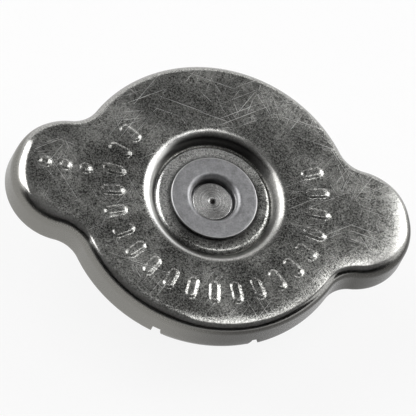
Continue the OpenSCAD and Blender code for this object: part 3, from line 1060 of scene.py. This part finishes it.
    def under_section(self) -> list[Point]:
        """Lower side of the lip, wall, groove and pad.

        Returns:
            The section, from the lip in to the hole.
        """
        mid = self.pad_depth + self.sheet_t
        bend = self.groove_w / 2 + self.sheet_t
        middle = self.dish_r - self.dish_lip_r - self.groove_w / 2
        lip = arc(self.dish_r, -self.dish_lip_r, self.dish_lip_r - self.sheet_t, 90, 180, 6)
        bottom = arc(middle, -mid, bend, 360, 180, 12)
        return [*lip, *bottom, *straight(bottom[-1], (self.hole_r, -mid), 3)[:-1]]

    def skirt_path(self) -> list[Point]:
        """Inset and height of the skirt's end.

        Returns:
            The section, from the root outside to the root inside.
        """
        lean = self.lean(self.skirt_h)
        r = self.rim_round
        edge = -self.skirt_h
        outside = straight((-self.lean(self.root), -self.root), (-lean, edge + r), 3)
        first = arc(r - lean, edge + r, r, 180, 270, 4)[1:]
        second = arc(self.sheet_t - lean - r, edge + r, r, 270, 360, 4)
        inside = straight(second[-1], (self.sheet_t - self.lean(self.root), -self.root), 3)[:-1]
        return [*outside, *first, *second, *inside]

    def lug_path(self, offset: float) -> list[Point]:
        """Inset and height of a lug's section, from the root outside to the root inside.

        Args:
            offset: Distance along the lug from its middle.

        Returns:
            The section, cut by the rounding of the lug's lower corners.
        """
        depth = self.skirt_h + self.lug_drop
        reach = max(abs(offset) - (self.lug_w / 2 - self.lug_end_r), 0.0)
        cut = -depth + self.lug_end_r - math.sqrt(max(self.lug_end_r ** 2 - reach ** 2, 0.0))
        start = -self.lean(self.root)
        fold, inner = self.lug_fold_r, self.lug_fold_r - self.sheet_t
        level = fold - depth
        lip_cut = cut > self.sheet_t - depth

        def fold_angle(radius: float) -> float:
            """How far round the fold the section goes before the cut."""
            return math.degrees(math.asin(min(max((level - cut) / radius, 0.0), 1.0)))

        wall_end = max(level, cut)
        outer_turn = fold_angle(fold) if lip_cut else 90.0
        inner_turn = fold_angle(inner) if lip_cut else 90.0
        wall = straight((start, -self.root), (start, wall_end), 3)
        outer = arc(start + fold, wall_end, fold, 180, 180 + outer_turn, 10)[1:]
        back = arc(start + fold, wall_end, inner, 180 + inner_turn, 180, 10)
        tip = self.lug_reach
        if lip_cut:
            lip = straight(outer[-1], back[0], 14)[:-1]
        else:
            bottom = straight(outer[-1], (tip, -depth), 6)
            front = straight(bottom[-1], (tip, self.sheet_t - depth), 2)
            lip = [*bottom, *front, *straight(front[-1], back[0], 7)[:-1]]
        inside = straight(back[-1], (start + self.sheet_t, -self.root), 3)[:-1]
        return [(x, max(z, cut)) for x, z in (*wall, *outer, *lip, *back, *inside)]

    def build(self) -> bpy.types.Object:
        """Make the lid's mesh and press its relief.

        Returns:
            The lid.
        """
        plan = self.outline()
        count = len(plan.points)
        edge_r, width, slope = self.edge_values(plan)
        inset_edge = plan.points - (edge_r + width)[:, None] * plan.normals
        way = inset_edge / np.linalg.norm(inset_edge, axis=1)[:, None]
        roll_r = edge_r / (1.0 - np.sin(slope))
        fall = np.tan(slope) * width / 2
        roll_z = -fall - roll_r * np.cos(slope)
        rows: list[np.ndarray] = []

        def row(place: np.ndarray, height: np.ndarray | float) -> int:
            """Add a row of points.

            Args:
                place: Each point's place in plan.
                height: Height of all of them, or of each, from the flat top.

            Returns:
                The row's number.
            """
            heights = np.broadcast_to(np.asarray(height, float), (count,))
            rows.append(np.column_stack([place, heights + self.top]))
            return len(rows) - 1

        def edge(inset: np.ndarray | float, height: np.ndarray | float) -> int:
            """Add a row that follows the plan at an inset."""
            insets = np.broadcast_to(np.asarray(inset, float), (count,))
            return row(plan.points - insets[:, None] * plan.normals, height)

        def flat(share: float, height: float) -> int:
            """Add a row between the dish and the falling strip."""
            return row(way * self.dish_r + (inset_edge - way * self.dish_r) * share, height)

        def strip(share: float, sheet: float) -> int:
            """Add a row of the falling strip.

            Args:
                share: Share of the strip's width, from the flat top out.
                sheet: Depth below the upper side.

            Returns:
                The row's number.
            """
            tilt = np.arctan(np.tan(slope) * share)
            inset = edge_r + width * (1.0 - share) + sheet * np.sin(tilt)
            return edge(inset, -fall * share ** 2 - sheet * np.cos(tilt))

        def roll(share: float, sheet: float) -> int:
            """Add a row of the rolled edge, or of one at a depth below it."""
            tilt = slope + (math.pi / 2 - slope) * share
            return edge(roll_r - (roll_r - sheet) * np.sin(tilt), roll_z + (roll_r - sheet) * np.cos(tilt))

        t = self.sheet_t
        upper = [row(way * r, z) for r, z in self.dish_section()]
        upper += [flat(i / self.flat_rows, 0.0) for i in range(1, self.flat_rows + 1)]
        upper += [strip(i / self.crown_rows, 0.0) for i in range(1, self.crown_rows)]
        upper += [roll(i / self.roll_rows, 0.0) for i in range(self.roll_rows + 1)]
        lean = self.lean(self.root)
        upper += [edge(-lean * share, roll_z - (self.root + roll_z) * share) for share in self.wall_shares]
        lower = [edge(t - lean, -self.root)]
        lower += [roll(i / self.under_roll_rows, t) for i in range(self.under_roll_rows, -1, -1)]
        lower += [strip(i / self.under_crown_rows, t) for i in range(self.under_crown_rows - 1, 0, -1)]
        lower += [flat(i / self.under_flat_rows, -t) for i in range(self.under_flat_rows, 0, -1)]
        lower += [row(way * r, z) for r, z in self.under_section()]
        skirt = [edge(x, z) for x, z in self.skirt_path()]
        paths = [self.lug_path(offset) for offset in plan.lug_offsets]
        lug = []
        for place in zip(*paths):
            insets = np.array([p[0] for p in place])
            lug.append(row(plan.points - insets[:, None] * plan.normals, np.array([p[1] for p in place])))
        chains = {Hangs.SKIRT: [upper[-1], *skirt, lower[0]], Hangs.NOTCH: [upper[-1], lower[0]],
                  Hangs.LUG: [upper[-1], *lug, lower[0]]}
        faces = self._faces(plan.hangs, upper, [*lower, upper[0]], chains)
        obj = new_object("pressed_lid", close_mesh("pressed_lid", np.concatenate(rows), faces))
        obj.data.materials.append(LID_PLATE.material())
        self.relief.press(obj, self.top, LID_PLATE.material())
        return obj

    @staticmethod
    def _faces(hangs: Sequence[Hangs], upper: Sequence[int], lower: Sequence[int],
               chains: Mapping[Hangs, Sequence[int]]) -> list[list[int]]:
        """Join rows of points into faces.

        Args:
            hangs: What hangs below each stretch between two columns.
            upper: Rows of the upper side.
            lower: Rows of the lower side.
            chains: Rows that lead from the upper to the lower side under each kind of stretch.

        Returns:
            The faces.
        """
        count = len(hangs)
        faces = []

        def strip(chain: Sequence[int], column: int) -> None:
            """Add the faces of a chain of rows over one stretch.

            Args:
                chain: The rows' numbers.
                column: The column that the stretch starts at.
            """
            after = (column + 1) % count
            for a, b in zip(chain, chain[1:]):
                faces.append([a * count + column, a * count + after, b * count + after, b * count + column])

        for column in range(count):
            strip(upper, column)
            strip(lower, column)
            strip(chains[hangs[column]], column)
            before = hangs[column - 1]
            if before is not hangs[column]:
                solid = before if hangs[column] is Hangs.NOTCH else hangs[column]
                faces.append([r * count + column for r in chains[solid]])
        return faces

    def dress(self, obj: bpy.types.Object) -> None:
        """Let the lid stand for its solid and ride with it.

        Args:
            obj: The lid.
        """
        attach(obj, "shell")
        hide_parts("cap_shell")


@dataclass
class Lathe:
    """A piece turned about the part's axis."""

    name: str
    section: Sequence[Point]
    segments: int = 192

    def build(self, finish: Finish) -> bpy.types.Object:
        """Turn the closed section into a mesh.

        Args:
            finish: The piece's finish.

        Returns:
            The piece.
        """
        turns = np.arange(self.segments) * math.tau / self.segments
        points, index = [], []
        for r, z in self.section:
            start = len(points)
            if r == 0.0:
                points.append((0.0, 0.0, z))
                index.append(np.full(self.segments, start))
            else:
                points.extend((r * math.cos(a), r * math.sin(a), z) for a in turns)
                index.append(np.arange(start, start + self.segments))
        closed = self.section[0][0] > 0.0
        pairs = list(zip(index, index[1:])) + ([(index[-1], index[0])] if closed else [])
        faces = []
        for low, high in pairs:
            for i in range(self.segments):
                after = (i + 1) % self.segments
                ring = [low[i], low[after], high[after], high[i]]
                faces.append(list(dict.fromkeys(int(v) for v in ring)))
        obj = new_object(self.name, close_mesh(self.name, np.array(points), faces))
        obj.data.materials.append(finish.material())
        return obj


@dataclass
class HubAndRivet:
    """The cup washer in the middle of the lid and the turned rivet in its cup."""

    flange_top: float
    diaphragm_top: float
    rivet_foot: float
    hub_r: float = 6.8
    hub_t: float = 0.55
    hub_edge_r: float = 0.165
    cup_r: float = 3.5
    cup_lip_r: float = 0.9
    cup_corner_r: float = 0.3
    head_r: float = 3.175
    head_h: float = 0.78
    head_edge_r: float = 0.23
    shank_r: float = 2.2
    shank_gap: float = 0.02
    foot_r: float = 3.4
    foot_h: float = 0.9
    foot_edge_r: float = 0.27
    dimple_r: float = 0.6
    dimple_depth: float = 0.14
    dimple_tip_r: float = 0.12
    dimple_edge: float = 0.01
    ring_gap: float = 0.04
    ring_pitch: float = 0.52
    ring_height: float = 0.003
    ring_steps: int = 48

    def hub_section(self) -> list[Point]:
        """Section of the cup washer.

        Returns:
            The closed section.
        """
        top, t = self.flange_top, self.hub_t
        lip_x = self.cup_r + self.cup_lip_r
        lip_z = top - self.cup_lip_r
        floor = self.diaphragm_top + t
        hole = self.shank_r + self.shank_gap
        e, c = self.hub_edge_r, self.cup_corner_r
        rim = [*arc(self.hub_r - e, top - t + e, e, -90, 0, 4), *arc(self.hub_r - e, top - e, e, 0, 90, 4)]
        mouth = arc(lip_x, lip_z, self.cup_lip_r, 90, 180, 12)
        corner = arc(self.cup_r - c, floor + c, c, 0, -90, 5)
        under = arc(lip_x, lip_z, self.cup_lip_r - t, 180, 90, 8)
        foot = [(hole, floor), (hole, self.diaphragm_top), (self.cup_r + t, self.diaphragm_top)]
        return [*rim, *straight(rim[-1], mouth[0], 6)[:-1], *mouth, *corner, *foot, *under]

    def rivet_section(self) -> list[Point]:
        """Section of the rivet.

        Returns:
            The section, from the dimple at its top to the middle of its foot.
        """
        seat = self.diaphragm_top + self.hub_t
        top = seat + self.head_h
        e, f = self.head_edge_r, self.foot_edge_r
        ceiling = self.rivet_foot + self.foot_h
        dimple = [(0.0, top - self.dimple_depth), (self.dimple_tip_r, top - self.dimple_depth * 0.9),
                  (self.dimple_r * 0.75, top - self.dimple_depth * 0.3),
                  (self.dimple_r, top - self.dimple_edge)]
        rings = []
        first = self.dimple_r + self.ring_gap
        for i in range(1, self.ring_steps):
            r = first + (self.head_r - e - first) * i / self.ring_steps
            rings.append((r, top + self.ring_height * (math.sin(math.tau * r / self.ring_pitch) - 1.0)))
        edge = arc(self.head_r - e, top - e, e, 90, 0, 6)
        lower = [(self.head_r, seat), (self.shank_r, seat), (self.shank_r, ceiling),
                 (self.foot_r - f, ceiling)]
        foot = [*arc(self.foot_r - f, ceiling - f, f, 90, 0, 5)[1:],
                *arc(self.foot_r - f, self.rivet_foot + f, f, 0, -90, 5), (0.0, self.rivet_foot)]
        return [*dimple, *rings, *edge, *lower, *foot]

    def build(self) -> list[bpy.types.Object]:
        """Make both pieces and let them stand for their solids.

        Returns:
            The cup washer and the rivet.
        """
        made = []
        for name, section, finish, node, slot in (
                ("cup_washer", self.hub_section(), HUB_PLATE, "hub_washer", "hub_plate"),
                ("turned_rivet", self.rivet_section(), RIVET_METAL, "centre_rivet", "rivet_metal")):
            obj = Lathe(name, section).build(finish)
            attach(obj, "carrier")
            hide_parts(node)
            made.append(obj)
        return made


@dataclass
class CoilSpring:
    """A round-wire spring with closed ends."""

    name: str
    node: str
    body: str
    joint: str
    turns: float
    wire: float
    travel: float
    fixed_high: bool
    closed: float = 0.75
    closed_slack: float = 1.03
    steps: int = 44
    sides: int = 20

    def build(self) -> bpy.types.Object:
        """Wind the spring in the space of its solid.

        Returns:
            The spring.
        """
        low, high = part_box(self.node)
        length = (high.z - low.z) / MM
        mean_r = max(high.x, high.y, -low.x, -low.y) / MM - self.wire / 2
        pitch = self.wire * self.closed_slack
        open_turns = self.turns - 2 * self.closed
        open_pitch = (length - self.wire - 2 * self.closed * pitch) / open_turns
        graph = ShapeGraph(self.name + "_coil")
        radius = graph.number("Mean radius", mean_r * MM)
        thick = graph.number("Wire radius", self.wire / 2 * MM)
        base = graph.number("Base level", low.z + self.wire / 2 * MM)
        closed = graph.number("Closed turns", self.closed)
        spread = graph.number("Open turns", open_turns)
        near = graph.number("Closed pitch", pitch * MM)
        wide = graph.number("Open pitch", open_pitch * MM)
        steps = graph.number("Steps a turn", self.steps)
        count = graph.number("Points", round(self.turns * self.steps) + 1, whole=True)
        sides = graph.number("Sides", self.sides, whole=True)
        line = graph.node("GeometryNodeMeshLine", None, {"Count": count})
        turn = graph.node("GeometryNodeInputIndex") / steps
        rise = turn.low(closed) * near + (turn - closed).high(0.0).low(spread) * wide
        rise = rise + (turn - closed - spread).high(0.0) * near
        way = turn * math.tau
        place = graph.node("ShaderNodeCombineXYZ", None,
                           {0: way.cosine() * radius, 1: way.sine() * radius, 2: base + rise})
        wound = graph.node("GeometryNodeSetPosition", None, {"Geometry": line, "Position": place})
        path = graph.node("GeometryNodeMeshToCurve", None, {"Mesh": wound})
        ring = graph.node("GeometryNodeCurvePrimitiveCircle", None, {"Resolution": sides, "Radius": thick})
        tube = graph.node("GeometryNodeCurveToMesh", None,
                          {"Curve": path, "Profile Curve": ring, "Fill Caps": True})
        graph.close(tube, SPRING_WIRE.material())
        obj = new_object(self.name, bpy.data.meshes.new(self.name))
        graph.shape(obj)
        soften(obj.data)
        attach(obj, self.body)
        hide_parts(self.node)
        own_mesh(obj)
        return obj


@dataclass
class ValvePieces:
    """The stamped, drawn and moulded pieces that keep the shape of their solids."""

    finishes: Mapping[str, Finish] = field(default_factory=lambda: {
        "diaphragm": SPRING_SHEET, "upper_seal": SEAL_RUBBER, "bell_housing": DRAWN_PLATE,
        "spring_seat": DRAWN_PLATE, "valve_plate": DRAWN_PLATE, "pressure_seal": SEAL_RUBBER,
        "seal_retainer": VALVE_BRASS, "vacuum_disc": VALVE_BRASS, "vacuum_stem": VALVE_BRASS,
        "stem_retainer": VALVE_BRASS})

    def dress(self) -> None:
        """Give each solid its finish."""
        for node, finish in self.finishes.items():
            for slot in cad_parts[node].material_slots:
                slot.material = finish.material()
            log.info("%s: %s", node, finish.name)


@dataclass
class PhotoCamera:
    """The camera of the photograph, aimed at the middle of the lid's flat top."""

    top: float
    azimuth: float = -0.394
    elevation: float = 1.068
    roll: float = 0.519
    distance: float = 610.5
    right: float = -1.195
    up: float = -1.933
    focal_px: float = 4000.0
    image_px: float = 416.0
    sensor: float = 36.0
    clip_start_m: float = 0.01

    def axes(self) -> tuple[Vector, Vector, Vector]:
        """Directions of the picture.

        Returns:
            Its right and up directions, and the way back to the camera.
        """
        flat, steep = math.cos(self.elevation), math.sin(self.elevation)
        back = Vector((math.sin(self.azimuth) * flat, -math.cos(self.azimuth) * flat, steep))
        level = Vector((math.cos(self.azimuth), math.sin(self.azimuth), 0.0))
        rise = back.cross(level)
        right = math.cos(self.roll) * level + math.sin(self.roll) * rise
        return right, back.cross(right), back

    def build(self) -> None:
        """Set up the camera."""
        right, up, back = self.axes()
        data = bpy.data.cameras.new("photo_camera")
        data.sensor_fit = "HORIZONTAL"
        data.sensor_width = self.sensor
        data.lens = self.sensor * self.focal_px / self.image_px
        data.clip_start = self.clip_start_m
        camera = bpy.data.objects.new("photo_camera", data)
        bpy.context.scene.collection.objects.link(camera)
        place = back * self.distance + right * self.right + up * self.up + Vector((0.0, 0.0, self.top))
        turn = Matrix((right, up, back)).transposed().to_4x4()
        camera.matrix_world = Matrix.Translation(place * MM) @ turn
        bpy.context.scene.camera = camera


@dataclass(frozen=True)
class Lamp:
    """A soft box, given by the direction it shines from, in metres and watts."""

    name: str
    direction: Spot
    distance: float
    width: float
    height: float
    brightness: float

    def build(self) -> None:
        """Hang the lamp so that it faces the part."""
        data = bpy.data.lights.new(self.name, "AREA")
        data.shape = "RECTANGLE"
        data.size, data.size_y = self.width, self.height
        data.energy = self.brightness * math.pi * self.width * self.height
        obj = bpy.data.objects.new(self.name, data)
        bpy.context.scene.collection.objects.link(obj)
        way = Vector(self.direction).normalized()
        obj.location = way * self.distance
        obj.rotation_euler = way.to_track_quat("Z", "Y").to_euler()


@dataclass(frozen=True)
class DarkCard:
    """A dark card beside the set, which the metal mirrors and the camera does not see."""

    name: str
    corners: Sequence[Spot]

    def build(self, material: bpy.types.Material) -> None:
        """Stand the card up.

        Args:
            material: The card's material.
        """
        mesh = bpy.data.meshes.new(self.name)
        mesh.from_pydata([list(corner) for corner in self.corners], [], [list(range(len(self.corners)))])
        mesh.materials.append(material)
        card = new_object(self.name, mesh)
        card.visible_camera = False


@dataclass(frozen=True)
class CardFelt(Finish):
    """Dark felt of the cards."""

    felt: Colour

    def shade(self, graph: SurfaceGraph) -> None:
        """Give the felt one flat colour."""
        graph.finish(base_color=(*self.felt, 1.0), roughness=1.0)


@dataclass
class Studio:
    """Pale floor, soft boxes, dark cards and a white surround, in metres."""

    floor_half: float = 3.0
    card_reach: float = 1.5
    card_height: float = 1.35
    side_end: float = -0.3
    card_foot: float = 0.27
    ceiling_reach: float = 2.1
    lamps: Sequence[Lamp] = (
        Lamp("left_box", (-0.66, 0.30, 0.66), distance=1.1, width=0.8, height=0.7, brightness=3.6),
        Lamp("right_box", (0.69, 0.41, 0.58), distance=1.1, width=0.5, height=0.8, brightness=3.6),
        Lamp("top_box", (0.28, 0.08, 0.95), distance=1.05, width=0.2, height=0.36, brightness=2.6),
    )

    def build(self) -> None:
        """Make the floor, cards, lamps and surround."""
        mesh = bpy.data.meshes.new("floor")
        h = self.floor_half
        mesh.from_pydata([(-h, -h, 0.0), (h, -h, 0.0), (h, h, 0.0), (-h, h, 0.0)], [], [(0, 1, 2, 3)])
        mesh.materials.append(FLOOR_PAPER.material())
        new_object("floor", mesh)
        black = CardFelt("card_black", (0.02, 0.02, 0.02)).material()
        grey = CardFelt("card_grey", (0.29, 0.29, 0.29)).material()
        a, b, c = self.card_reach, self.ceiling_reach, self.card_height
        end, low = self.side_end, self.card_foot
        for name, cloth, corners in (
                ("near_card", black, [(-a, -a, low), (a, -a, low), (a, -a, c), (-a, -a, c)]),
                ("left_card", black, [(-a, -a, low), (-a, end, low), (-a, end, c), (-a, -a, c)]),
                ("right_card", black, [(a, -a, low), (a, end, low), (a, end, c), (a, -a, c)]),
                ("ceiling_card", grey, [(-a, -a, c), (a, -a, c), (a, b, c), (-a, b, c)])):
            DarkCard(name, corners).build(cloth)
        for lamp in self.lamps:
            lamp.build()
        world = bpy.data.worlds.new("surround")
        world.use_nodes = True
        surround = next(n for n in world.node_tree.nodes if n.type == "BACKGROUND")
        surround.inputs["Color"].default_value = (1.0, 1.0, 1.0, 1.0)
        surround.inputs["Strength"].default_value = 1.0
        bpy.context.scene.world = world


def main() -> None:
    """Build the looks of the cap in order."""
    logging.basicConfig(level=logging.INFO, format="%(name)s: %(message)s")
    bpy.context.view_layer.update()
    scene = bpy.context.scene
    scene.view_settings.view_transform = "Standard"
    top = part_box("cap_shell")[1].z / MM
    PhotoCamera(top).build()
    Studio().build()
    lid = PressedLid(top)
    lid_piece = lid.build()
    lid.dress(lid_piece)
    hub_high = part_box("hub_washer")[1].z / MM
    hub_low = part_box("hub_washer")[0].z / MM
    rivet_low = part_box("centre_rivet")[0].z / MM
    pieces = [lid_piece, *HubAndRivet(hub_high, hub_low, rivet_low).build()]
    for spring in (
            CoilSpring("heavy_spring", "pressure_spring", "carrier", "pressure_lift",
                       turns=3.8, wire=1.5, travel=2.5, fixed_high=True),
            CoilSpring("light_spring", "vacuum_spring", "pressure_valve", "vacuum_drop",
                       turns=4.5, wire=0.4, travel=1.8, fixed_high=False)):
        pieces.append(spring.build())
    ValvePieces().dress()
    for piece in pieces:
        log.info("%s: %d faces", piece.name, len(piece.data.polygons))


if __name__ == "__main__":
    main()
